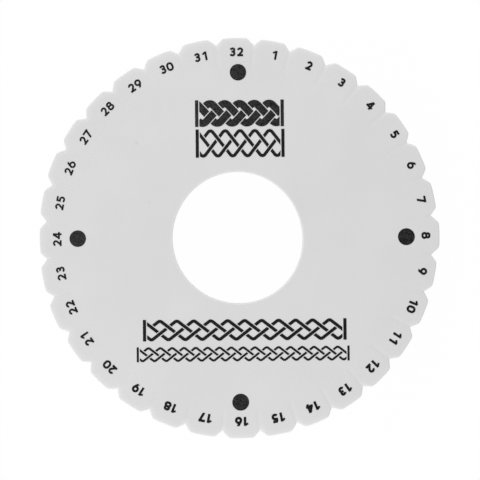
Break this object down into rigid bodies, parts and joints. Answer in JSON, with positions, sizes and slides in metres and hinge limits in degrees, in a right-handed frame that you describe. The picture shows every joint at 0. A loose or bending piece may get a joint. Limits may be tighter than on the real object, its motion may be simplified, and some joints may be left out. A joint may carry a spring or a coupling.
{
  "type": "kumihimo disk",
  "caption": "Flat round foam disk for braiding cord, with a centre hole, notched and slit tabs round its rim, and numbers printed on one face.",
  "frame": {"origin": "centre of the underside, on the axis of the centre hole", "axes": "+Z out of the printed face, +Y towards the tab numbered 32, +X towards the tab numbered 8"},
  "size_m": [0.108, 0.108, 0.01],
  "materials": {
    "foam": "matt light grey closed-cell foam",
    "ink": "matt black screen-print ink"
  },
  "bodies": {
    "root": {"dot_08": "ink", "dot_16": "ink", "dot_24": "ink", "dot_32": "ink", "foam_disk": "foam", "lower_plait_bold": "ink", "lower_plait_fine": "ink", "number_01": "ink", "number_02": "ink", "number_03": "ink", "number_04": "ink", "number_05": "ink", "number_06": "ink", "number_07": "ink", "number_08": "ink", "number_09": "ink", "number_10": "ink", "number_11": "ink", "number_12": "ink", "number_13": "ink", "number_14": "ink", "number_15": "ink", "number_16": "ink", "number_17": "ink", "number_18": "ink", "number_19": "ink", "number_20": "ink", "number_21": "ink", "number_22": "ink", "number_23": "ink", "number_24": "ink", "number_25": "ink", "number_26": "ink", "number_27": "ink", "number_28": "ink", "number_29": "ink", "number_30": "ink", "number_31": "ink", "number_32": "ink", "upper_plait_bold": "ink", "upper_plait_fine": "ink"}
  },
  "joints": []
}
